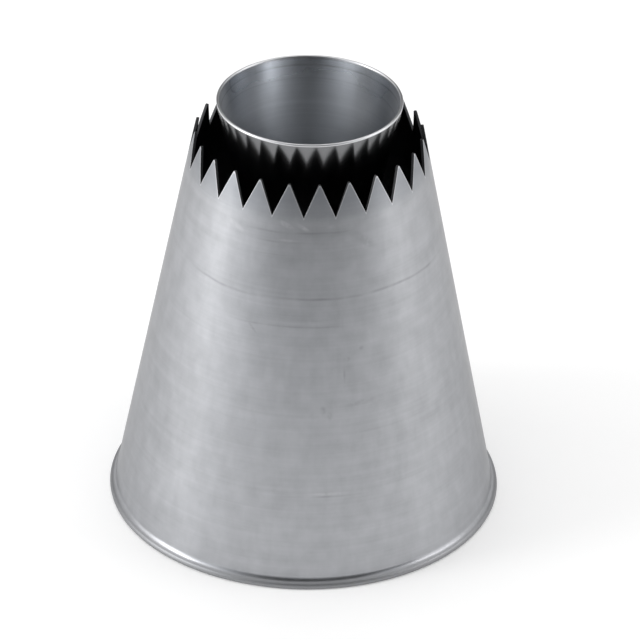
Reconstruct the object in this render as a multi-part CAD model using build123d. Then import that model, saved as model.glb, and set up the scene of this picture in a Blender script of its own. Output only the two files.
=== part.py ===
from build123d import *

import os
from math import acos, asin, atan2, cos, degrees, hypot, radians, sin, tan

# Ring piping nozzle with a star-toothed mouth: a thin steel cone whose upper edge is cut
# into teeth, and an inverted core cone in its middle, so that dough leaves as a fluted ring.
# Frame: +Z up, the nozzle standing on its wide end, origin at the centre of the base.
# -Y is the front. Lengths are millimetres and angles are degrees.

# Outer cone, with the bead that its base edge is rolled outwards and under into
base_diameter = 55.0
shell_height = 57.5
mouth_diameter = 31.4
shell_wall = 0.4
bead_diameter = 1.0
bead_overhang = 0.65
bead_land_depth = 0.03
flare_radius = 1.0
curl_gap = 0.04

# Teeth of the mouth
tooth_count = 24
tooth_depth = 4.6
tooth_tip_width = 0.24
tooth_turn = 5.6

# Core cone, closed at its lower end
core_rise = 4.55
core_mouth_diameter = 25.6
core_end_diameter = 9.2
core_corner_radius = 1.3
core_wall = 0.4
core_edge_break = 0.12

# Strap across the inside that carries the core
strap_height = 24.0
strap_width = 8.0
strap_thickness = 0.8
strap_bend_radius = 1.4
foot_length = 13.7
foot_seat_gap = 0.03
toe_corner_radius = 1.4

# Rivet through the core's end and the strap
rivet_diameter = 2.6
rivet_clearance = 0.05
rivet_head_diameter = 4.8
rivet_head_height = 0.9
upset_head_diameter = 4.6
upset_head_height = 1.1
head_edge_share = 0.3

# Spot welds between each foot and the outer cone
weld_diameter = 2.2
weld_pitch = 6.0
weld_dish_depth = 0.15
weld_clearance = 0.02

# One length by which every cutting tool runs past what it cuts
overrun = 5.0

# Worked out from the sizes above
base_radius = base_diameter / 2
mouth_radius = mouth_diameter / 2
bead_radius = bead_diameter / 2
curl_hollow_radius = bead_radius - shell_wall
curl_centre_radius = base_radius - bead_radius
curl_centre_height = bead_radius - bead_land_depth
core_mouth_radius = core_mouth_diameter / 2
core_end_radius = core_end_diameter / 2
core_top = shell_height + core_rise
core_floor = strap_height + core_wall
strap_underside = strap_height - strap_thickness
rivet_radius = rivet_diameter / 2
rivet_bore_radius = rivet_radius + rivet_clearance
weld_radius = weld_diameter / 2

# The wall's outside face runs from the tooth tips to bead_overhang inside the base's edge.
cone_slope = (base_radius - bead_overhang - mouth_radius) / (shell_height - curl_centre_height)
cone_angle = degrees(atan2(cone_slope, 1))
slant_factor = hypot(cone_slope, 1)
full_turn = 360

# The flare is an arc that touches the wall's outside face and the bead, and flows into both.
wall_to_curl = (bead_overhang - bead_radius) / slant_factor
flare_reach = flare_radius + bead_radius
flare_end = cone_angle + degrees(acos((flare_radius - wall_to_curl) / flare_reach))
flare_centre_radius = curl_centre_radius + flare_reach * cos(radians(flare_end))
flare_centre_height = curl_centre_height + flare_reach * sin(radians(flare_end))


def inner_radius(height):
    """Radius of the outer cone's inside face at a height."""
    return mouth_radius - shell_wall * slant_factor + (shell_height - height) * cone_slope


def on_curl(radius, angle):
    """Point of the base curl, at an angle from straight outwards, as radius and height."""
    turn = radians(angle)
    return (curl_centre_radius + radius * cos(turn), curl_centre_height + radius * sin(turn))


def on_flare(radius, angle):
    """Point of the flare between wall and curl, its angle taken as the curl's is."""
    turn = radians(angle)
    return (flare_centre_radius - radius * cos(turn), flare_centre_height - radius * sin(turn))


def on_foot(distance):
    """Point of the cone's inside face, at a distance down the wall from the strap's corner."""
    drop = distance / slant_factor
    return (inner_radius(strap_height - drop), strap_height - drop)


def turned(section):
    """Solid of revolution about Z of a section drawn in radius and height."""
    return revolve(Plane.XZ * section, Axis.Z)


def rounded(section, corners):
    """Section with its listed corners rounded, each given as a point and a radius."""
    for corner, radius in corners:
        nearest = section.vertices().sort_by_distance(corner)[0]
        section = fillet(nearest, radius)
    return section


def make_shell_blank():
    """Outer cone before its teeth are cut: a straight wall that flares into the rolled bead."""
    flare_middle = (cone_angle + flare_end) / 2
    flare_inside = flare_radius + shell_wall
    nearest = flare_inside + curl_gap
    closing = degrees(
        acos((flare_reach**2 + bead_radius**2 - nearest**2) / (2 * flare_reach * bead_radius))
    )
    free_end = flare_end + closing - full_turn
    curl_middle = (flare_end + free_end) / 2
    lip_outside = (mouth_radius, shell_height)
    lip_inside = (inner_radius(shell_height), shell_height)
    section = make_face(
        [
            Line(lip_outside, lip_inside),
            Line(lip_inside, on_flare(flare_inside, cone_angle)),
            ThreePointArc(
                on_flare(flare_inside, cone_angle),
                on_flare(flare_inside, flare_middle),
                on_flare(flare_inside, flare_end),
            ),
            ThreePointArc(
                on_curl(curl_hollow_radius, flare_end),
                on_curl(curl_hollow_radius, curl_middle),
                on_curl(curl_hollow_radius, free_end),
            ),
            Line(on_curl(curl_hollow_radius, free_end), on_curl(bead_radius, free_end)),
            ThreePointArc(
                on_curl(bead_radius, free_end),
                on_curl(bead_radius, curl_middle),
                on_curl(bead_radius, flare_end),
            ),
            ThreePointArc(
                on_flare(flare_radius, flare_end),
                on_flare(flare_radius, flare_middle),
                on_flare(flare_radius, cone_angle),
            ),
            Line(on_flare(flare_radius, cone_angle), lip_outside),
        ]
    )
    below_base = Cylinder(
        base_radius + overrun, overrun, align=(Align.CENTER, Align.CENTER, Align.MAX)
    )
    return turned(section) - below_base


def make_notch():
    """Wedge that cuts one notch, point down, through the wall on the -Y side."""
    pitch = mouth_diameter * sin(radians(full_turn / tooth_count / 2))
    half_width = (pitch - tooth_tip_width) / 2
    spread = half_width * (tooth_depth + overrun) / tooth_depth
    wedge = Polyline(
        (0, shell_height - tooth_depth),
        (spread, shell_height + overrun),
        (-spread, shell_height + overrun),
        close=True,
    )
    return extrude(Plane.XZ * make_face(wedge), base_radius)


def make_outer_cone():
    """Outer cone with its teeth. One tooth tip stands tooth_turn to the right of the front."""
    pitch_angle = full_turn / tooth_count
    first = tooth_turn + pitch_angle / 2
    notch = make_notch()
    return make_shell_blank() - [
        Rot(0, 0, first + index * pitch_angle) * notch for index in range(tooth_count)
    ]


def make_core_cone():
    """Core cone: open at its wide upper end, with a flat closed end that the rivet goes through."""
    rise = core_top - strap_height
    core_slope = (core_mouth_radius - core_end_radius) / rise
    wall_across = core_wall * hypot(1, core_slope)
    end_corner = (core_end_radius, strap_height)
    floor_corner = (core_end_radius + core_wall * core_slope - wall_across, core_floor)
    rim_outside = (core_mouth_radius, core_top)
    rim_inside = (core_mouth_radius - wall_across, core_top)
    outline = Polyline(
        (rivet_bore_radius, strap_height),
        end_corner,
        rim_outside,
        rim_inside,
        floor_corner,
        (rivet_bore_radius, core_floor),
        close=True,
    )
    section = rounded(
        make_face(outline),
        [
            (end_corner, core_corner_radius),
            (floor_corner, core_corner_radius - core_wall),
            (rim_outside, core_edge_break),
            (rim_inside, core_edge_break),
        ],
    )
    return turned(section)


def make_weld(distance, radius, inner_end):
    """Round pin, square to the front wall, from inside the wall's thickness to inner_end."""
    along, height = on_foot(distance)
    seat = Plane(
        origin=(0, -along, height),
        z_dir=(0, cos(radians(cone_angle)), -sin(radians(cone_angle))),
    )
    start = shell_wall / 2
    pin = Cylinder(radius, start + inner_end, align=(Align.CENTER, Align.CENTER, Align.MIN))
    return seat * Pos(0, 0, -start) * pin


def make_all_welds(radius, inner_end):
    """The four welds: two on the front foot, and the same two on the back foot."""
    bend_run = (strap_bend_radius + strap_thickness) * tan(radians((full_turn / 4 - cone_angle) / 2))
    middle = (bend_run + foot_length) / 2
    front = [
        make_weld(middle + side * weld_pitch / 2, radius, inner_end) for side in (-1, 1)
    ]
    back = [Rot(0, 0, full_turn / 2) * pin for pin in front]
    return front + back


def make_foot_welds():
    """Weld nuggets, each from the outer cone's inside face to the dished spot in the foot."""
    nugget_end = foot_seat_gap + strap_thickness - weld_dish_depth
    blank = make_shell_blank()
    return Part() + [pin - blank for pin in make_all_welds(weld_radius, nugget_end)]


def make_bridge_strap():
    """Strap: a flat bar from front to back with a foot bent down along the wall at each end.

    It is cut from a round cap that fits the inside of the cone, so that its feet do too.
    """
    seat = foot_seat_gap * slant_factor
    across = strap_thickness * slant_factor
    toe_radius, toe_height = on_foot(foot_length)
    corner = (inner_radius(strap_height) - seat, strap_height)
    inner_corner = (inner_radius(strap_underside) - seat - across, strap_underside)
    outline = Polyline(
        (rivet_bore_radius, strap_height),
        corner,
        (toe_radius - seat, toe_height),
        (toe_radius - seat - across, toe_height),
        inner_corner,
        (rivet_bore_radius, strap_underside),
        close=True,
    )
    section = rounded(
        make_face(outline),
        [
            (corner, strap_bend_radius + strap_thickness),
            (inner_corner, strap_bend_radius),
        ],
    )
    strip = Box(strap_width, base_diameter, 2 * shell_height)
    strap = turned(section) & strip
    toes = strap.edges().filter_by(Axis.Y).group_by(Axis.Z)[0]
    strap = fillet(toes, toe_corner_radius)
    weld_holes = make_all_welds(weld_radius + weld_clearance, strap_thickness + overrun)
    return strap - weld_holes


def dome(edge_radius, edge_height, top_height):
    """Arc from the axis down, or up, to the edge of a rounded rivet head."""
    rise = top_height - edge_height
    sphere_radius = (edge_radius**2 + rise**2) / (2 * rise)
    half_angle = asin(edge_radius / sphere_radius) / 2
    middle = (
        abs(sphere_radius * sin(half_angle)),
        top_height - sphere_radius * (1 - cos(half_angle)),
    )
    return ThreePointArc((0, top_height), middle, (edge_radius, edge_height))


def make_core_rivet():
    """Rivet: a low round head on the core's floor, and the end upset under the strap."""
    head_radius = rivet_head_diameter / 2
    upset_radius = upset_head_diameter / 2
    head_edge = core_floor + rivet_head_height * head_edge_share
    upset_edge = strap_underside - upset_head_height * head_edge_share
    head_top = core_floor + rivet_head_height
    upset_bottom = strap_underside - upset_head_height
    side = Polyline(
        (head_radius, head_edge),
        (head_radius, core_floor),
        (rivet_radius, core_floor),
        (rivet_radius, strap_underside),
        (upset_radius, strap_underside),
        (upset_radius, upset_edge),
    )
    section = make_face(
        [
            dome(head_radius, head_edge, head_top),
            *side.edges(),
            dome(upset_radius, upset_edge, upset_bottom),
            Line((0, upset_bottom), (0, head_top)),
        ]
    )
    return turned(section)


pieces = {
    "outer_cone": make_outer_cone(),
    "core_cone": make_core_cone(),
    "bridge_strap": make_bridge_strap(),
    "core_rivet": make_core_rivet(),
    "foot_welds": make_foot_welds(),
}

os.makedirs("parts", exist_ok=True)
for name, piece in pieces.items():
    export_step(piece, f"parts/{name}.step")
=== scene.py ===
import math
from collections import namedtuple

import bmesh
import bpy
from mathutils import Matrix, Vector


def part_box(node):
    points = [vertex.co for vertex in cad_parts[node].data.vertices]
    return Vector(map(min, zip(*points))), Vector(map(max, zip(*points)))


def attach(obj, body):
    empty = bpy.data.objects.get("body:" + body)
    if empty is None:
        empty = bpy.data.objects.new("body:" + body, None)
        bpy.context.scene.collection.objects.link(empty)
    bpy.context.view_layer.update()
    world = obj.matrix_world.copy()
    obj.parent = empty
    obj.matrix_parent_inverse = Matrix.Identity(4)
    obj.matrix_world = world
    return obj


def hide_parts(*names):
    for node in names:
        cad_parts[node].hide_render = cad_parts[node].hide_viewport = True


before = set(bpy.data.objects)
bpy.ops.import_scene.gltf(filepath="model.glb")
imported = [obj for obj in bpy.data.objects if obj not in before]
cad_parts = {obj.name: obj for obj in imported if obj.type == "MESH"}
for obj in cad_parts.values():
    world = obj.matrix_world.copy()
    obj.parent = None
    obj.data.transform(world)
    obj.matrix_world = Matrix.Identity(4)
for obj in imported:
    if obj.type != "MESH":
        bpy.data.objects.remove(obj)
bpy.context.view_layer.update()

# Looks of the ring piping nozzle: satin stainless steel, turned and cut from thin sheet.
# Lengths are metres. +Z is up, -Y is the front, and azimuths run from the front towards +X.

_, cone_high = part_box("outer_cone")
core_low, core_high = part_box("core_cone")
rivet_low, rivet_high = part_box("core_rivet")

FULL_TURN = 2 * math.pi
MERGE_DISTANCE = 2e-6

# Ranges that one noise value, and two added up, mostly keep to
noise_low, noise_high = 0.3, 0.7
pair_low, pair_high = 0.7, 1.3

# Angles between two faces from which their edge is sharp, or gets broken
SHARP_CAD = math.radians(25)
SHARP_BROKEN = math.radians(30)
SHARP_TURNED = math.radians(35)
SHARP_COPY = math.radians(40)

# Outer cone: sheet, bead and teeth
base_radius = cone_high.x
shell_height = cone_high.z
mouth_radius = 0.0157
sheet = 0.0004
bead_radius = 0.0005
bead_overhang = 0.00065
bead_land_depth = 0.00003
flare_radius = 0.001
curl_gap = 0.00004
tooth_count = 24
tooth_depth = 0.0046
tip_width = 0.00024
tooth_turn = math.radians(5.6)
edge_round = 0.00006
burnish_drop = 0.0004
steps_up_tooth = 8

# Core cone, and the sectors that close it
core_top = core_high.z
core_bottom = core_low.z
core_mouth_radius = 0.0128
core_end_radius = 0.0046
core_corner_radius = 0.0013
core_sheet = 0.0004
core_edge_round = 0.00018
core_sectors = 48
core_steps = 6

# Rivet, strap and welds
rivet_shank_radius = 0.0013
rivet_head_radius = 0.0024
upset_head_radius = 0.0023
head_edge_share = 0.3
core_floor = core_bottom + core_sheet
strap_thickness = 0.0008
strap_underside = core_bottom - strap_thickness
rivet_sectors = 24
rivet_steps = 3
strap_edge_break = 0.00008
weld_edge_break = 0.00006

# Worked out from the sizes above, as the sheet was drawn
curl_hollow_radius = bead_radius - sheet
curl_centre_radius = base_radius - bead_radius
curl_centre_height = bead_radius - bead_land_depth
cone_run = base_radius - bead_overhang - mouth_radius
cone_slope = cone_run / (shell_height - curl_centre_height)
cone_angle = math.atan(cone_slope)
sheet_across = sheet / math.cos(cone_angle)
wall_to_curl = (bead_overhang - bead_radius) * math.cos(cone_angle)
flare_reach = flare_radius + bead_radius
flare_end = cone_angle + math.acos((flare_radius - wall_to_curl) / flare_reach)
flare_centre_radius = curl_centre_radius + flare_reach * math.cos(flare_end)
flare_centre_height = curl_centre_height + flare_reach * math.sin(flare_end)

Spot = namedtuple("Spot", "radius height edge inside worn")
Ring = namedtuple("Ring", "height width start stop depth")
Scuff = namedtuple("Scuff", "azimuth height half_turn half_height lean depth")
Lamp = namedtuple("Lamp", "name place aim_height width height power")

# Scratches that run round the cone: height, width, azimuths in degrees, and depth from 0 to 1
dark_rings = [
    Ring(0.0416, 0.00032, -62, 76, 0.38),
    Ring(0.0376, 0.00024, -34, 22, 0.28),
    Ring(0.0386, 0.00014, -12, 17, 0.22),
    Ring(0.0508, 0.00026, -32, 24, 0.28),
    Ring(0.0494, 0.00022, -28, 8, 0.28),
    Ring(0.0476, 0.00014, -27, -1, 0.3),
    Ring(0.0132, 0.00026, -10, 22, 0.3),
]
pale_rings = [Ring(0.0521, 0.0011, -200, 200, 0.2), Ring(0.0381, 0.0003, -24, 18, 0.2)]
core_rings = [
    Ring(core_high.z - 0.0013, 0.0002, -200, 200, 0.4),
    Ring(core_high.z - 0.0031, 0.00015, -200, 200, 0.2),
]

# Short marks on the cone: place, half sizes, lean in metres a radian, and depth from 0 to 1
dark_scuffs = [
    Scuff(26, 0.0492, 9, 0.0011, -0.012, 0.22),
    Scuff(-22, 0.0369, 3.5, 0.0004, -0.02, 0.25),
    Scuff(16.1, 0.0328, 1.4, 0.0005, 0.0, 0.3),
    Scuff(21.9, 0.0341, 1.4, 0.0004, 0.0, 0.25),
    Scuff(14.7, 0.0305, 0.7, 0.0014, 0.0, 0.25),
    Scuff(6.5, 0.0257, 1.4, 0.0009, 0.0, 0.25),
    Scuff(9, 0.0249, 1.3, 0.0008, 0.0, 0.22),
    Scuff(20.5, 0.0263, 8, 0.0006, 0.002, 0.22),
]
pale_scuffs = [
    Scuff(-10, 0.0519, 5, 0.0006, -0.006, 0.6),
    Scuff(-2.5, 0.0517, 5, 0.0005, -0.008, 0.6),
    Scuff(-8.5, 0.0497, 6, 0.0003, 0.0, 0.35),
    Scuff(-34, 0.0503, 7, 0.0006, -0.006, 0.25),
    Scuff(12, 0.0517, 6, 0.0004, 0.0, 0.3),
    Scuff(8, 0.0137, 9, 0.0003, 0.0, 0.3),
]

softboxes = [
    Lamp("left_softbox", (-0.47, -0.14, 0.15), 0.03, 0.25, 0.3, 0.5),
    Lamp("left_fill", (-0.5, 0.0, 0.2), 0.03, 0.3, 0.35, 0.37),
    Lamp("back_softbox", (0, 0.33, 0.55), 0.06, 0.5, 0.1, 0.3),
    Lamp("high_left_softbox", (-0.42, -0.12, 0.3), 0.06, 0.12, 0.09, 0.27),
    Lamp("right_softbox", (0.5, -0.05, 0.12), 0.03, 0.3, 0.3, 0.2),
    Lamp("high_right_softbox", (0.47, -0.06, 0.3), 0.03, 0.34, 0.08, 0.3),
]


# Shapes


def link(obj):
    """Puts an object into the scene."""
    bpy.context.scene.collection.objects.link(obj)
    return obj


def outside_radius(height):
    """Radius of the outer cone's outside face at a height."""
    return mouth_radius + (shell_height - height) * cone_slope


def arc(centre, radius, start, end, steps):
    """Points of an arc in radius and height, with both ends, at angles from straight outwards."""
    turns = [start + (end - start) * step / steps for step in range(steps + 1)]
    return [
        (centre[0] + radius * math.cos(turn), centre[1] + radius * math.sin(turn))
        for turn in turns
    ]


def spots(points, edge=0.0, inside=0.0, worn=0.0):
    """Section points with their marks for cut edge, inner side, and worn corner that gets a painted
    highlight.
    """
    return [Spot(radius, height, edge, inside, worn) for radius, height in points]


def edge_rows(lip):
    """Heights of the wall's rows of points, from the bead up to just under the edge at lip."""
    wall_rows = 10
    tooth_rows = 9
    tooth_zone = 1.45
    zone = shell_height - tooth_depth * tooth_zone
    start = flare_centre_height + edge_round * 2
    unworn = lip - burnish_drop
    hold = lip - edge_round * 2
    lower = [start + (zone - start) * row / wall_rows for row in range(wall_rows)]
    upper = [zone + (unworn - zone) * row / tooth_rows for row in range(tooth_rows + 1)]
    return lower + upper + [hold]


def lip_rounds(outer, across, lip, rounding, lean, burnished_sheen=0):
    """Spots over a leaning sheet's edge, rounded so that both its faces run straight into it.

    The edge stands at height lip. Its outside corner would be at radius outer, the sheet
    measures across on the level, and lean is the angle by which its outside faces upwards.
    The first spots, their number given last, are marked as a worn corner that gets a painted
    highlight, and the rest as cut.
    """
    steps = 4
    quarter = FULL_TURN / 4
    height = lip - rounding
    outer_face = outer + rounding * math.tan(lean)
    inset = rounding / math.cos(lean)
    over_outside = arc((outer_face - inset, height), rounding, lean, quarter, steps)
    over_inside = arc(
        (outer_face - across + inset, height), rounding, quarter, 2 * quarter + lean, steps
    )
    bright = spots(over_outside[:burnished_sheen], worn=1.0)
    return bright + spots(over_outside[burnished_sheen:] + over_inside, edge=1.0)


def cone_section(lip):
    """Closed outline of the cone's sheet where its toothed edge stands at height lip."""
    flare_steps, inner_steps, hollow_steps, bead_steps = 12, 8, 10, 32
    worn_sheen_spots = 2
    rows = edge_rows(lip)
    half_turn = FULL_TURN / 2
    flare_inside = flare_radius + sheet
    nearest = flare_inside + curl_gap
    closing = math.acos(
        (flare_reach**2 + bead_radius**2 - nearest**2) / (2 * flare_reach * bead_radius)
    )
    free_end = flare_end + closing - FULL_TURN
    flare = (flare_centre_radius, flare_centre_height)
    curl = (curl_centre_radius, curl_centre_height)
    low_turn, high_turn = flare_end + half_turn, cone_angle + half_turn
    outer_flare = arc(flare, flare_radius, low_turn, high_turn, flare_steps)
    inner_flare = arc(flare, flare_inside, high_turn, low_turn, inner_steps)
    hollow = arc(curl, curl_hollow_radius, flare_end, free_end, hollow_steps)
    bead = arc(curl, bead_radius, free_end, flare_end, bead_steps)
    grounded = [(radius, max(height, 0.0)) for radius, height in bead]
    outside = [(outside_radius(height), height) for height in rows]
    inside = [(outside_radius(height) - sheet_across, height) for height in reversed(rows)]
    lip_radius = outside_radius(lip)
    return (
        spots(outside[:-1])
        + spots(outside[-1:], worn=1.0)
        + lip_rounds(lip_radius, sheet_across, lip, edge_round, cone_angle, worn_sheen_spots)
        + spots(inside + inner_flare, inside=1.0)
        + spots(hollow[1:] + grounded + outer_flare[1:])
    )


def notch_height(azimuth):
    """Height of a notch's straight side, at an azimuth measured from the notch's own middle."""
    pitch = 2 * mouth_radius * math.sin(FULL_TURN / tooth_count / 2)
    half_width = (pitch - tip_width) / 2
    lean = half_width / tooth_depth
    root = shell_height - tooth_depth
    reach = math.sin(abs(azimuth))
    rise = lean * root + (mouth_radius + cone_slope * shell_height) * reach
    return min(rise / (lean + cone_slope * reach), shell_height)


def cone_columns():
    """Azimuths and sections of one tooth, from the notch on its left to the one on its right."""
    pitch_angle = FULL_TURN / tooth_count
    tip_half_angle = tip_width / 2 / mouth_radius
    side = pitch_angle / 2 - tip_half_angle
    climb = [side * step / steps_up_tooth for step in range(steps_up_tooth + 1)]
    left = [(tooth_turn - pitch_angle / 2 + climbed, notch_height(climbed)) for climbed in climb]
    right = [
        (tooth_turn + pitch_angle / 2 - climbed, notch_height(climbed))
        for climbed in reversed(climb)
    ]
    return [(azimuth, cone_section(lip)) for azimuth, lip in left + right]


def even_columns(section, copies, steps):
    """Columns of one plain sector, when copies of it close the circle."""
    sector = FULL_TURN / copies
    return [(sector * step / steps, section) for step in range(steps + 1)]


def sector_object(name, columns, cyclic):
    """Object that holds one sector of a turned piece, with its marks as vertex attributes."""
    mesh = bpy.data.meshes.new(name)
    shape = bmesh.new()
    edge_layer = shape.verts.layers.float.new("cut_edge")
    inside_layer = shape.verts.layers.float.new("inner_side")
    worn_sheen_layer = shape.verts.layers.float.new("worn_sheen_edge")
    grid = []
    for azimuth, section in columns:
        column = []
        for spot in section:
            place = (spot.radius * math.sin(azimuth), -spot.radius * math.cos(azimuth), spot.height)
            vert = shape.verts.new(place)
            vert[edge_layer] = spot.edge
            vert[inside_layer] = spot.inside
            vert[worn_sheen_layer] = spot.worn
            column.append(vert)
        grid.append(column)
    for left, right in zip(grid, grid[1:]):
        for index in range(len(left) if cyclic else len(left) - 1):
            after = (index + 1) % len(left)
            shape.faces.new((left[index], right[index], right[after], left[after]))
    shape.to_mesh(mesh)
    shape.free()
    return link(bpy.data.objects.new(name, mesh))


# Node helpers


def add_node(tree, kind, inputs=None, **settings):
    """Adds a node, with its settings and its inputs, each a value or a socket to link from."""
    made = tree.nodes.new(kind)
    for key, value in settings.items():
        setattr(made, key, value)
    for key, value in (inputs or {}).items():
        if isinstance(value, bpy.types.NodeSocket):
            tree.links.new(value, made.inputs[key])
        else:
            made.inputs[key].default_value = value
    return made


def maths(tree, operation, *values):
    """Result of a maths node on one or two values."""
    inputs = dict(enumerate(values))
    return add_node(tree, "ShaderNodeMath", inputs, operation=operation).outputs[0]


def plus(tree, *values):
    """Sum of two or more values."""
    total = values[0]
    for value in values[1:]:
        total = maths(tree, "ADD", total, value)
    return total


def minus(tree, first, second):
    """First value less the second."""
    return maths(tree, "SUBTRACT", first, second)


def times(tree, first, second):
    """Product of two values."""
    return maths(tree, "MULTIPLY", first, second)


def higher(tree, first, second):
    """The higher of two values."""
    return maths(tree, "MAXIMUM", first, second)


def between(tree, share, first, second):
    """Mix of two values."""
    return add_node(tree, "ShaderNodeMix", {0: share, 2: first, 3: second}).outputs[0]


def mixed(tree, share, first, second):
    """Mix of two colours."""
    made = add_node(
        tree, "ShaderNodeMix", {0: share, 6: first, 7: second}, data_type="RGBA"
    )
    return made.outputs[2]


def ranged(tree, value, low, high, start=0.0, end=1.0, kind="LINEAR"):
    """Value moved from the range low to high into the range start to end, and held there."""
    made = add_node(
        tree,
        "ShaderNodeMapRange",
        {"Value": value, "From Min": low, "From Max": high, "To Min": start, "To Max": end},
        interpolation_type=kind,
    )
    return made.outputs[0]


def noise(tree, place, scale, detail, roughness=0.5):
    """Soft noise at a place."""
    made = add_node(
        tree,
        "ShaderNodeTexNoise",
        {"Vector": place, "Scale": scale, "Detail": detail, "Roughness": roughness},
    )
    return made.outputs[0]


def length_of(tree, vector):
    """Length of a vector."""
    made = add_node(tree, "ShaderNodeVectorMath", {0: vector}, operation="LENGTH")
    return made.outputs["Value"]


def coordinates(tree, place):
    """The three coordinates of a place."""
    return add_node(tree, "ShaderNodeSeparateXYZ", {0: place}).outputs


def azimuth_at(tree, parts):
    """Azimuth of a place's coordinates, from the front towards +X."""
    return maths(tree, "ARCTAN2", parts["X"], times(tree, parts["Y"], -1.0))


def grouped(tree, group, inputs):
    """Result of a node group placed in a material."""
    return add_node(tree, "ShaderNodeGroup", inputs, node_tree=group).outputs[0]


def mark(tree, name):
    """Value of a vertex attribute."""
    return add_node(tree, "ShaderNodeAttribute", attribute_name=name).outputs["Fac"]


# Pieces


def make_round_tree():
    """Geometry nodes that repeat a sector round the Z axis until it closes, and join the seams."""
    tree = bpy.data.node_groups.new("repeat_round_axis", "GeometryNodeTree")
    for name, kind in (
        ("Sector", "NodeSocketGeometry"),
        ("Copies", "NodeSocketInt"),
        ("Seam Distance", "NodeSocketFloat"),
        ("Material", "NodeSocketMaterial"),
    ):
        tree.interface.new_socket(name, in_out="INPUT", socket_type=kind)
    tree.interface.new_socket("Piece", in_out="OUTPUT", socket_type="NodeSocketGeometry")
    given = add_node(tree, "NodeGroupInput").outputs
    points = add_node(tree, "GeometryNodePoints", {"Count": given["Copies"]})
    index = add_node(tree, "GeometryNodeInputIndex")
    step = maths(tree, "DIVIDE", FULL_TURN, given["Copies"])
    turn = times(tree, index.outputs[0], step)
    about_z = add_node(tree, "ShaderNodeCombineXYZ", {"Z": turn})
    copies = add_node(
        tree,
        "GeometryNodeInstanceOnPoints",
        {
            "Points": points.outputs[0],
            "Instance": given["Sector"],
            "Rotation": about_z.outputs[0],
        },
    )
    real = add_node(tree, "GeometryNodeRealizeInstances", {"Geometry": copies.outputs[0]})
    joined = add_node(
        tree,
        "GeometryNodeMergeByDistance",
        {"Geometry": real.outputs[0], "Distance": given["Seam Distance"]},
    )
    smooth = add_node(tree, "GeometryNodeSetShadeSmooth", {"Geometry": joined.outputs[0]})
    coated = add_node(
        tree,
        "GeometryNodeSetMaterial",
        {"Geometry": smooth.outputs[0], "Material": given["Material"]},
    )
    add_node(tree, "NodeGroupOutput", {"Piece": coated.outputs[0]})
    return tree


def set_input(modifier, name, value):
    """Sets a geometry-nodes modifier's input, found by its name."""
    for item in modifier.node_group.interface.items_tree:
        if item.item_type == "SOCKET" and item.in_out == "INPUT" and item.name == name:
            modifier[item.identifier] = value


def mark_sharp(mesh, limit, recalculate):
    """Shades a mesh smooth but for its sharp edges, and turns its faces outwards if asked."""
    shape = bmesh.new()
    shape.from_mesh(mesh)
    if recalculate:
        bmesh.ops.recalc_face_normals(shape, faces=shape.faces)
    for face in shape.faces:
        face.smooth = True
    for edge in shape.edges:
        edge.smooth = edge.calc_face_angle(0.0) < limit
    shape.to_mesh(mesh)
    shape.free()


def bake_modifiers(obj):
    """Replaces an object's mesh by its modifiers' result, as a plain mesh."""
    depsgraph = bpy.context.evaluated_depsgraph_get()
    result = bpy.data.meshes.new_from_object(
        obj.evaluated_get(depsgraph), preserve_all_data_layers=True, depsgraph=depsgraph
    )
    obj.modifiers.clear()
    obj.data = result


def turned_piece(name, columns, cyclic, copies, material):
    """Piece made of one sector that is repeated round the axis."""
    obj = sector_object(name, columns, cyclic)
    modifier = obj.modifiers.new("repeat", "NODES")
    modifier.node_group = round_tree
    set_input(modifier, "Copies", copies)
    set_input(modifier, "Seam Distance", MERGE_DISTANCE)
    set_input(modifier, "Material", material)
    bake_modifiers(obj)
    mark_sharp(obj.data, SHARP_TURNED, recalculate=True)
    return obj


def core_section():
    """Closed outline of the core cone's sheet, from the rivet's hole up and back again."""
    rise = core_top - core_bottom
    flare = math.atan2(core_mouth_radius - core_end_radius, rise)
    across = core_sheet / math.cos(flare)
    quarter = FULL_TURN / 4
    rows, corner_steps = 12, 8

    def side(height, offset):
        share = (height - core_bottom) / rise
        return core_end_radius + share * (core_mouth_radius - core_end_radius) - offset

    def corner(offset, radius, floor):
        half_turn = (quarter - flare) / 2
        run = radius * math.tan(half_turn)
        centre = (side(floor, offset) - run, floor + radius)
        return arc(centre, radius, -quarter, -flare, corner_steps)

    outer_corner = corner(0.0, core_corner_radius, core_bottom)
    inner_corner = corner(across, core_corner_radius - core_sheet, core_floor)
    low = outer_corner[-1][1] + core_edge_round
    high = core_top - core_edge_round * 2
    heights = [low + (high - low) * row / rows for row in range(rows + 1)]
    outside = [(side(height, 0.0), height) for height in heights]
    inside = [(side(height, across), height) for height in reversed(heights)]
    hole = rivet_shank_radius
    return (
        spots([(hole, core_bottom)] + outer_corner + outside)
        + lip_rounds(core_mouth_radius, across, core_top, core_edge_round, -flare)
        + spots(inside + inner_corner[::-1] + [(hole, core_floor)], inside=1.0)
    )


def dome(edge_radius, edge_height, top_height, steps):
    """Points from the axis to the edge of a low rounded head, which may hang down."""
    rise = top_height - edge_height
    sphere = (edge_radius**2 + rise**2) / (2 * rise)
    reach = math.asin(edge_radius / abs(sphere))
    turns = [reach * step / steps for step in range(steps + 1)]
    return [
        (abs(sphere) * math.sin(turn), top_height - sphere * (1 - math.cos(turn)))
        for turn in turns
    ]


def rivet_section():
    """Outline of the rivet from its head's top, down its shank, to its upset end."""
    head_steps = 10
    head_edge = core_floor + (rivet_high.z - core_floor) * head_edge_share
    upset_edge = strap_underside - (strap_underside - rivet_low.z) * head_edge_share
    head = dome(rivet_head_radius, head_edge, rivet_high.z, head_steps)
    upset = dome(upset_head_radius, upset_edge, rivet_low.z, head_steps)
    side = [
        (rivet_head_radius, core_floor),
        (rivet_shank_radius, core_floor),
        (rivet_shank_radius, strap_underside),
        (upset_head_radius, strap_underside),
    ]
    return spots(head + side + upset[::-1])


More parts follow.
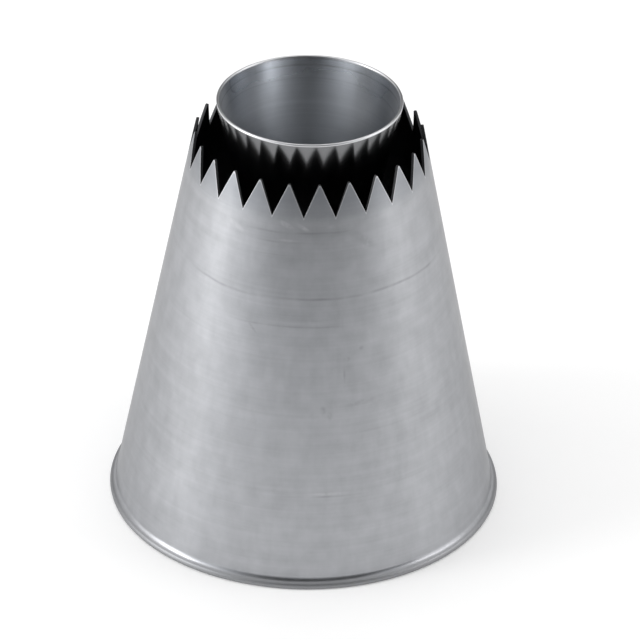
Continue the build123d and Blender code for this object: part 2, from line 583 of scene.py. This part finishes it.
def smooth_copy(node, name, edge_break, material):
    """Copy of a CAD node with its doubles merged, its curves smooth and its edges broken."""
    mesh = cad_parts[node].data.copy()
    mesh.name = name
    shape = bmesh.new()
    shape.from_mesh(mesh)
    bmesh.ops.remove_doubles(shape, verts=shape.verts, dist=MERGE_DISTANCE)
    shape.to_mesh(mesh)
    shape.free()
    mark_sharp(mesh, SHARP_CAD, recalculate=False)
    mesh.materials.clear()
    mesh.materials.append(material)
    obj = link(bpy.data.objects.new(name, mesh))
    bevel = obj.modifiers.new("edge_break", "BEVEL")
    bevel.width = edge_break
    bevel.segments = 2
    bevel.limit_method = "ANGLE"
    bevel.angle_limit = SHARP_BROKEN
    bevel.use_clamp_overlap = True
    bake_modifiers(obj)
    mark_sharp(obj.data, SHARP_COPY, recalculate=False)
    return obj


# Shader groups


def new_group(name, numbers, result):
    """Shader node group that takes a place and some numbers, and gives one value."""
    tree = bpy.data.node_groups.new(name, "ShaderNodeTree")
    tree.interface.new_socket("Position", in_out="INPUT", socket_type="NodeSocketVector")
    for label in numbers:
        tree.interface.new_socket(label, in_out="INPUT", socket_type="NodeSocketFloat")
    tree.interface.new_socket(result, in_out="OUTPUT", socket_type="NodeSocketFloat")
    return tree, add_node(tree, "NodeGroupInput").outputs


def make_lines_group():
    """Fine lines at a steady height, as a lathe or a polishing wheel leaves them."""
    detail, roughness = 3.0, 0.6
    tree, given = new_group("turning_lines", ["Along", "Across"], "Lines")
    stretch = add_node(
        tree,
        "ShaderNodeCombineXYZ",
        {"X": given["Along"], "Y": given["Along"], "Z": given["Across"]},
    )
    place = add_node(
        tree,
        "ShaderNodeVectorMath",
        {0: given["Position"], 1: stretch.outputs[0]},
        operation="MULTIPLY",
    )
    found = noise(tree, place.outputs[0], 1.0, detail, roughness)
    add_node(tree, "NodeGroupOutput", {"Lines": found})
    return tree


def make_cloud_group():
    """Soft uneven patches, such as handling and wiping leave."""
    detail = 3.0
    tree, given = new_group("handling_clouds", ["Scale"], "Clouds")
    found = noise(tree, given["Position"], given["Scale"], detail)
    add_node(tree, "NodeGroupOutput", {"Clouds": found})
    return tree


def make_scratch_group():
    """One broken scratch round the axis, at a height and between two azimuths."""
    wander_scale, wander_height = 90.0, 0.0005
    break_scale, break_low, break_high = 260.0, 0.3, 0.65
    detail, end_fade = 2.0, 0.25
    tree, given = new_group("ring_scratch", ["Height", "Width", "From", "To"], "Scratch")
    parts = coordinates(tree, given["Position"])
    wander = noise(tree, given["Position"], wander_scale, detail)
    drift = ranged(tree, wander, 0.0, 1.0, -wander_height, wander_height)
    level = plus(tree, given["Height"], drift)
    distance = maths(tree, "ABSOLUTE", minus(tree, parts["Z"], level))
    line = ranged(tree, distance, given["Width"], 0.0, kind="SMOOTHSTEP")
    azimuth = azimuth_at(tree, parts)
    ends = [
        ranged(tree, times(tree, minus(tree, azimuth, given[bound]), sign), 0.0, end_fade)
        for bound, sign in (("From", 1.0), ("To", -1.0))
    ]
    ended = times(tree, line, times(tree, ends[0], ends[1]))
    breaks = noise(tree, given["Position"], break_scale, detail)
    strength = ranged(tree, breaks, break_low, break_high)
    add_node(tree, "NodeGroupOutput", {"Scratch": times(tree, ended, strength)})
    return tree


def make_short_mark_group():
    """One soft oval mark on the wall, which may lean, with a grain in it."""
    full_share = 0.2
    grain_scale, grain_low, grain_high = 1400.0, 0.2, 0.6
    detail = 2.0
    tree, given = new_group(
        "short_mark", ["Azimuth", "Height", "Half Turn", "Half Height", "Lean"], "Mark"
    )
    parts = coordinates(tree, given["Position"])
    turned = minus(tree, azimuth_at(tree, parts), given["Azimuth"])
    middle = plus(tree, given["Height"], times(tree, turned, given["Lean"]))
    aside = maths(tree, "DIVIDE", turned, given["Half Turn"])
    above = maths(tree, "DIVIDE", minus(tree, parts["Z"], middle), given["Half Height"])
    place = add_node(tree, "ShaderNodeCombineXYZ", {"X": aside, "Y": above})
    distance = length_of(tree, place.outputs[0])
    oval = ranged(tree, distance, 1.0, full_share, kind="SMOOTHSTEP")
    grain = noise(tree, given["Position"], grain_scale, detail)
    strength = ranged(tree, grain, grain_low, grain_high)
    add_node(tree, "NodeGroupOutput", {"Mark": times(tree, oval, strength)})
    return tree


# Materials


def lines_at(tree, position, along, across):
    """Turning lines in a material."""
    return grouped(
        tree, lines_group, {"Position": position, "Along": along, "Across": across}
    )


def clouds_at(tree, position, scale):
    """Soft uneven patches in a material."""
    return grouped(tree, cloud_group, {"Position": position, "Scale": scale})


def new_steel(name, roughness, anisotropic):
    """Material with a bare metal shader, and the object coordinates to drive it."""
    edge_tint, quarter_turned = (0.7, 0.7, 0.7, 1), 0.25
    material = bpy.data.materials.new(name)
    material.use_nodes = True
    tree = material.node_tree
    shader = tree.nodes["Principled BSDF"]
    shader.inputs["Metallic"].default_value = 1.0
    shader.inputs["Roughness"].default_value = roughness
    shader.inputs["Specular Tint"].default_value = edge_tint
    shader.inputs["Anisotropic"].default_value = anisotropic
    shader.inputs["Anisotropic Rotation"].default_value = quarter_turned
    tangent = add_node(tree, "ShaderNodeTangent", direction_type="RADIAL", axis="Z")
    tree.links.new(tangent.outputs[0], shader.inputs["Tangent"])
    position = add_node(tree, "ShaderNodeTexCoord").outputs["Object"]
    return material, tree, shader, position


def deepest(tree, depths):
    """The deepest of several marks at each place."""
    worn = depths[0]
    for depth in depths[1:]:
        worn = higher(tree, worn, depth)
    return worn


def ring_marks(tree, position, rings):
    """The deepest of several ring scratches at each place."""
    depths = []
    for ring in rings:
        inputs = {
            "Position": position,
            "Height": ring.height,
            "Width": ring.width,
            "From": math.radians(ring.start),
            "To": math.radians(ring.stop),
        }
        depths.append(times(tree, grouped(tree, scratch_group, inputs), ring.depth))
    return deepest(tree, depths)


def short_marks(tree, position, scuffs):
    """The deepest of several short marks at each place."""
    depths = []
    for scuff in scuffs:
        inputs = {
            "Position": position,
            "Azimuth": math.radians(scuff.azimuth),
            "Height": scuff.height,
            "Half Turn": math.radians(scuff.half_turn),
            "Half Height": scuff.half_height,
            "Lean": scuff.lean,
        }
        depths.append(times(tree, grouped(tree, short_mark_group, inputs), scuff.depth))
    return deepest(tree, depths)


def all_marks(tree, position, rings, scuffs):
    """The deepest of ring scratches and short marks at each place."""
    return higher(tree, ring_marks(tree, position, rings), short_marks(tree, position, scuffs))


def make_cone_steel():
    """Outer cone: satin sheet with uneven tone, scratches and scuffs, worn edges with a painted
    highlight, and painted shade on the cut edges, the teeth, the inside towards the mouth and the
    bead's foot.
    """
    sheet_dark, sheet_pale = (0.364, 0.37, 0.386, 1), (0.448, 0.455, 0.475, 1)
    rub_pale, scratch_dark = (0.6, 0.605, 0.62, 1), (0.16, 0.162, 0.17, 1)
    tooth_band_shade, burnish_sheen_pale = (0.21, 0.224, 0.245, 1), (0.66, 0.665, 0.68, 1)
    cut_edge_shade, mouth_shade_dark = (0.08, 0.081, 0.084, 1), (0.06, 0.06, 0.063, 1)
    bead_foot_shade = (0.33, 0.334, 0.345, 1)
    tone_low, tone_high = 1.25, 1.95
    tooth_shade_share, burnish_sheen_share = 0.55, 0.7
    tooth_fade_low = shell_height - tooth_depth - 0.0014
    tooth_fade_high = shell_height - tooth_depth + 0.0022
    mouth_shade_start, mouth_shade_full = 0.03, 0.047
    bead_top, bead_full = 0.0011, 0.0007
    smooth, rough, rough_swing, coarser = 0.3, 0.36, 0.03, 0.22
    relief_share, bump_strength, bump_depth = 0.5, 0.12, 0.00004
    material, tree, shader, position = new_steel("cone_steel", 0.33, 0.45)
    fine = lines_at(tree, position, along=30.0, across=2200.0)
    broad = lines_at(tree, position, along=20.0, across=650.0)
    streaks = lines_at(tree, position, along=650.0, across=50.0)
    mottle = clouds_at(tree, position, scale=420.0)
    haze = clouds_at(tree, position, scale=70.0)
    layers = ((fine, 0.5), (broad, 0.6), (streaks, 0.5), (mottle, 1.0), (haze, 0.6))
    tone = plus(tree, *[times(tree, layer, weight) for layer, weight in layers])
    plain = mixed(tree, ranged(tree, tone, tone_low, tone_high), sheet_dark, sheet_pale)

    edge = mark(tree, "cut_edge")
    dark_marks = all_marks(tree, position, dark_rings, dark_scuffs)
    pale_marks = all_marks(tree, position, pale_rings, pale_scuffs)
    height = coordinates(tree, position)["Z"]
    # Teeth: painted shade, darker from just under the notches' roots up to the tips.
    tooth_shaded = ranged(tree, height, tooth_fade_low, tooth_fade_high, 0.0, tooth_shade_share)
    # Worn corner of the teeth's lip: paler, partly real wear and partly a painted highlight.
    burnished_sheen = times(tree, mark(tree, "worn_sheen_edge"), burnish_sheen_share)
    colour = plain
    for share, tint in (
        (pale_marks, rub_pale),
        (dark_marks, scratch_dark),
        (tooth_shaded, tooth_band_shade),
        (burnished_sheen, burnish_sheen_pale),
        # Cut faces of the sheet: painted shade, nearly black.
        (edge, cut_edge_shade),
    ):
        colour = mixed(tree, share, colour, tint)

    # Inside of the sheet: painted shade, darker from 30 mm up and nearly black from 47 mm up to the
    # mouth, where the gap to the core is dark.
    mouth_shaded = mixed(tree, ranged(tree, height, mouth_shade_start, mouth_shade_full), plain, mouth_shade_dark)
    sided = mixed(tree, mark(tree, "inner_side"), colour, mouth_shaded)
    # Bead's foot: painted shade, darker below 1.1 mm where it meets the floor; it is also made
    # rougher.
    bead = ranged(tree, height, bead_top, bead_full)
    tree.links.new(mixed(tree, bead, sided, bead_foot_shade), shader.inputs["Base Color"])

    patchy = ranged(tree, haze, noise_low, noise_high, smooth, rough)
    lined = ranged(tree, fine, 0.0, 1.0, -rough_swing, rough_swing)
    coarse = times(tree, higher(tree, bead, edge), coarser)
    tree.links.new(plus(tree, patchy, lined, coarse), shader.inputs["Roughness"])

    relief = minus(tree, ranged(tree, broad, 0.0, 1.0, 0.0, relief_share), dark_marks)
    bump = add_node(
        tree,
        "ShaderNodeBump",
        {"Strength": bump_strength, "Distance": bump_depth, "Height": relief},
    )
    tree.links.new(bump.outputs[0], shader.inputs["Normal"])
    return material


def make_core_steel():
    """Core cone: smooth grey outside, satin inside with rings under its rim and painted shade
    further down, and a rim with a painted highlight.
    """
    outside_grey, deep_shade_grey = (0.2, 0.202, 0.208, 1), (0.3, 0.312, 0.33, 1)
    satin_dark, satin_pale = (0.49, 0.506, 0.53, 1), (0.575, 0.593, 0.62, 1)
    ring_dark, rim_sheen_pale = (0.15, 0.15, 0.16, 1), (0.72, 0.725, 0.74, 1)
    deep_start, deep_full, deep_share = core_top - 0.007, core_top - 0.015, 0.6
    polish_start, polish_full, polish = core_top - 0.006, core_top - 0.001, -0.14
    side_y, side_half, polish_off, polish_on, matter = 0.0015, 0.0035, 0.0015, 0.005, 0.1
    outer_smooth, outer_rough, inner_smooth, inner_rough = 0.13, 0.17, 0.34, 0.4
    rim_coarser = 0.16
    material, tree, shader, position = new_steel("core_steel", 0.2, 0.4)
    grain = lines_at(tree, position, along=40.0, across=2200.0)
    patches = clouds_at(tree, position, scale=160.0)
    edge = mark(tree, "cut_edge")
    inside = mark(tree, "inner_side")
    parts = coordinates(tree, position)

    tone = ranged(tree, plus(tree, grain, patches), pair_low, pair_high)
    satin = mixed(tree, tone, satin_dark, satin_pale)
    # Inside: painted shade, darker from 7 mm under the rim and darkest from 15 mm under it down.
    deep_shade = ranged(tree, parts["Z"], deep_start, deep_full, 0.0, deep_share)
    plain = mixed(tree, inside, outside_grey, mixed(tree, deep_shade, satin, deep_shade_grey))
    ring = times(tree, ring_marks(tree, position, core_rings), inside)
    ringed = mixed(tree, ring, plain, ring_dark)
    # Rim: painted highlight, paler than the satin inside.
    tree.links.new(mixed(tree, edge, ringed, rim_sheen_pale), shader.inputs["Base Color"])

    off_sides = maths(tree, "ABSOLUTE", minus(tree, parts["Y"], side_y))
    upper = ranged(tree, parts["Z"], polish_start, polish_full, 0.0, polish)
    polished = times(tree, upper, ranged(tree, off_sides, polish_off, polish_on))
    matt = ranged(tree, off_sides, side_half, 0.0, 0.0, matter)
    patchy = ranged(tree, patches, noise_low, noise_high, inner_smooth, inner_rough)
    inner = plus(tree, patchy, polished, matt)
    outer = ranged(tree, patches, noise_low, noise_high, outer_smooth, outer_rough)
    rough = between(tree, inside, outer, inner)
    coarse = times(tree, edge, rim_coarser)
    tree.links.new(plus(tree, rough, coarse), shader.inputs["Roughness"])
    return material


def make_plain_steel(name, dark, light, roughness, grain_scale):
    """Mill-finish steel with an even grain, for the strap, the rivet and the welds."""
    anisotropic, cloud_scale, roughness_swing = 0.3, 150.0, 0.05
    material, tree, shader, position = new_steel(name, roughness, anisotropic)
    grain = lines_at(tree, position, grain_scale, grain_scale)
    patches = clouds_at(tree, position, cloud_scale)
    tone = ranged(tree, plus(tree, grain, patches), pair_low, pair_high)
    tree.links.new(mixed(tree, tone, dark, light), shader.inputs["Base Color"])
    smooth, rough = roughness - roughness_swing, roughness + roughness_swing
    patchy = ranged(tree, patches, noise_low, noise_high, smooth, rough)
    tree.links.new(patchy, shader.inputs["Roughness"])
    return material


# Floor, camera and lights


def make_floor():
    """Pale floor, a little paler off the cone's foot for the camera and for reflections."""
    half = 3.0
    white = (0.93, 0.93, 0.93, 1)
    extra_white = 0.13
    mesh = bpy.data.meshes.new("floor")
    corners = [(-half, -half, 0), (half, -half, 0), (half, half, 0), (-half, half, 0)]
    mesh.from_pydata(corners, [], [(0, 1, 2, 3)])
    material = bpy.data.materials.new("floor_white")
    material.use_nodes = True
    tree = material.node_tree
    shader = tree.nodes["Principled BSDF"]
    shader.inputs["Base Color"].default_value = white
    shader.inputs["Roughness"].default_value = 0.9
    shader.inputs["Specular IOR Level"].default_value = 0.0
    shader.inputs["Emission Color"].default_value = (1, 1, 1, 1)
    rays = add_node(tree, "ShaderNodeLightPath").outputs
    seen = plus(
        tree, rays["Is Camera Ray"], rays["Is Glossy Ray"], rays["Is Transmission Ray"]
    )
    distance = length_of(tree, add_node(tree, "ShaderNodeTexCoord").outputs["Object"])
    foot = base_radius - bead_radius * 2
    extra = ranged(tree, distance, foot, base_radius, 0.0, extra_white)
    tree.links.new(times(tree, seen, extra), shader.inputs["Emission Strength"])
    mesh.materials.append(material)
    floor = link(bpy.data.objects.new("floor", mesh))


def make_camera():
    """Camera where the photograph was taken from, worked out from the cone's outline."""
    distance = 0.7099
    elevation = math.radians(31.21)
    roll = math.radians(1.039)
    aim_height = 0.03
    aim_right = 0.00271
    aim_up = -0.00374
    place = Vector((0, -distance * math.cos(elevation), distance * math.sin(elevation)))
    place.z += aim_height
    ahead = Vector((0, math.cos(elevation), -math.sin(elevation)))
    upward = Vector((0, math.sin(elevation), math.cos(elevation)))
    view = (ahead + aim_right * Vector((1, 0, 0)) + aim_up * upward).normalized()
    right = view.cross(Vector((0, 0, 1))).normalized()
    up = right.cross(view)
    turned_right = math.cos(roll) * right + math.sin(roll) * up
    turned_up = math.cos(roll) * up - math.sin(roll) * right
    axes = Matrix((turned_right, turned_up, -view)).transposed()
    data = bpy.data.cameras.new("camera")
    data.lens = 286.7
    data.sensor_width = 36.0
    data.clip_start = 0.05
    data.clip_end = 20
    camera = link(bpy.data.objects.new("camera", data))
    camera.matrix_world = Matrix.Translation(place) @ axes.to_4x4()
    bpy.context.scene.camera = camera


def make_softbox(lamp):
    """Rectangular soft light that faces a point on the nozzle's axis."""
    data = bpy.data.lights.new(lamp.name, "AREA")
    data.shape = "RECTANGLE"
    data.size = lamp.width
    data.size_y = lamp.height
    data.energy = lamp.power
    box = link(bpy.data.objects.new(lamp.name, data))
    box.visible_camera = False
    box.location = lamp.place
    aim = Vector((0, 0, lamp.aim_height)) - Vector(lamp.place)
    box.rotation_euler = aim.to_track_quat("-Z", "Y").to_euler()


def make_world(strength):
    """Even pale surround."""
    world = bpy.data.worlds.new("studio")
    world.use_nodes = True
    background = world.node_tree.nodes["Background"]
    background.inputs["Color"].default_value = (1.0, 1.0, 1.0, 1)
    background.inputs["Strength"].default_value = strength
    bpy.context.scene.world = world


def new_glow(name):
    """Material with no shader yet, and its tree."""
    material = bpy.data.materials.new(name)
    material.use_nodes = True
    material.node_tree.nodes.clear()
    return material, material.node_tree


def make_card(name, ends, depth, low, top, material):
    """Upright card across the Y axis, seen by the steel alone."""
    left, right = ends
    mesh = bpy.data.meshes.new(name)
    corners = [(left, depth, low), (right, depth, low), (right, depth, top), (left, depth, top)]
    mesh.from_pydata(corners, [], [(0, 1, 2, 3)])
    mesh.materials.append(material)
    card = link(bpy.data.objects.new(name, mesh))
    card.visible_camera = False
    card.visible_diffuse = False
    card.visible_shadow = False


def make_front_grey():
    """Front card's grey: dark in a middle that leans right, pale at its foot, sides and top."""
    tint = (0.97, 0.99, 1.015, 1)
    middle_x, dark_half, pale_half = 0.03, 0.07, 0.28
    rise_top, lean, widening = 0.05, 2.6, 2.4
    foot_glow, middle_glow, side_glow = 1.0, 0.05, 0.95
    flank_middle, flank_start, flank_full = -0.04, 0.17, 0.26
    high_start, high_full, high_glow = 0.08, 0.14, 0.7
    material, tree = new_glow("card_grey")
    parts = coordinates(tree, add_node(tree, "ShaderNodeTexCoord").outputs["Object"])
    rise = maths(tree, "MINIMUM", parts["Z"], rise_top)
    middle = plus(tree, times(tree, rise, lean), middle_x)
    aside = maths(tree, "ABSOLUTE", minus(tree, parts["X"], middle))
    away = minus(tree, aside, times(tree, rise, widening))
    sideways = ranged(tree, away, dark_half, pale_half, kind="SMOOTHSTEP")
    lifted = ranged(tree, parts["Z"], 0.0, rise_top, foot_glow, middle_glow)
    level = between(tree, sideways, lifted, side_glow)
    outward = maths(tree, "ABSOLUTE", minus(tree, parts["X"], flank_middle))
    flank = ranged(tree, outward, flank_start, flank_full)
    high = ranged(tree, parts["Z"], high_start, high_full)
    total = plus(tree, level, times(tree, times(tree, flank, high), high_glow))
    glow = add_node(tree, "ShaderNodeEmission", {"Color": tint, "Strength": total})
    add_node(tree, "ShaderNodeOutputMaterial", {"Surface": glow.outputs[0]})
    return material


def make_back_grey():
    """Back card's grey, which keeps the core's hollow dark."""
    dim = 0.12
    material, tree = new_glow("card_dark")
    glow = add_node(tree, "ShaderNodeEmission", {"Strength": dim})
    add_node(tree, "ShaderNodeOutputMaterial", {"Surface": glow.outputs[0]})
    return material


# The scene


bpy.context.scene.view_settings.view_transform = "Standard"

round_tree = make_round_tree()
lines_group = make_lines_group()
cloud_group = make_cloud_group()
scratch_group = make_scratch_group()
short_mark_group = make_short_mark_group()

cone_steel = make_cone_steel()
core_steel = make_core_steel()
strap_steel = make_plain_steel(
    "strap_steel", (0.42, 0.42, 0.44, 1), (0.54, 0.54, 0.56, 1), 0.3, 600.0
)
rivet_steel = make_plain_steel(
    "rivet_steel", (0.46, 0.46, 0.48, 1), (0.58, 0.58, 0.6, 1), 0.22, 900.0
)
weld_steel = make_plain_steel(
    "weld_steel", (0.32, 0.3, 0.28, 1), (0.48, 0.45, 0.4, 1), 0.4, 2500.0
)

core_columns = even_columns(core_section(), core_sectors, core_steps)
rivet_columns = even_columns(rivet_section(), rivet_sectors, rivet_steps)
pieces = {
    "outer_cone": turned_piece("toothed_cone", cone_columns(), True, tooth_count, cone_steel),
    "core_cone": turned_piece("inner_core", core_columns, True, core_sectors, core_steel),
    "bridge_strap": smooth_copy("bridge_strap", "strap", strap_edge_break, strap_steel),
    "core_rivet": turned_piece("rivet", rivet_columns, False, rivet_sectors, rivet_steel),
    "foot_welds": smooth_copy("foot_welds", "weld_spots", weld_edge_break, weld_steel),
}
for node, piece in pieces.items():
    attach(piece, "root")
    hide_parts(node)

make_floor()
make_camera()
make_card("front_card", (-0.42, 0.42), -0.17, low=0, top=0.4, material=make_front_grey())
make_card("back_card", (0.36, -0.36), 0.4, low=0.15, top=0.44, material=make_back_grey())
for softbox in softboxes:
    make_softbox(softbox)
make_world(strength=0.8)
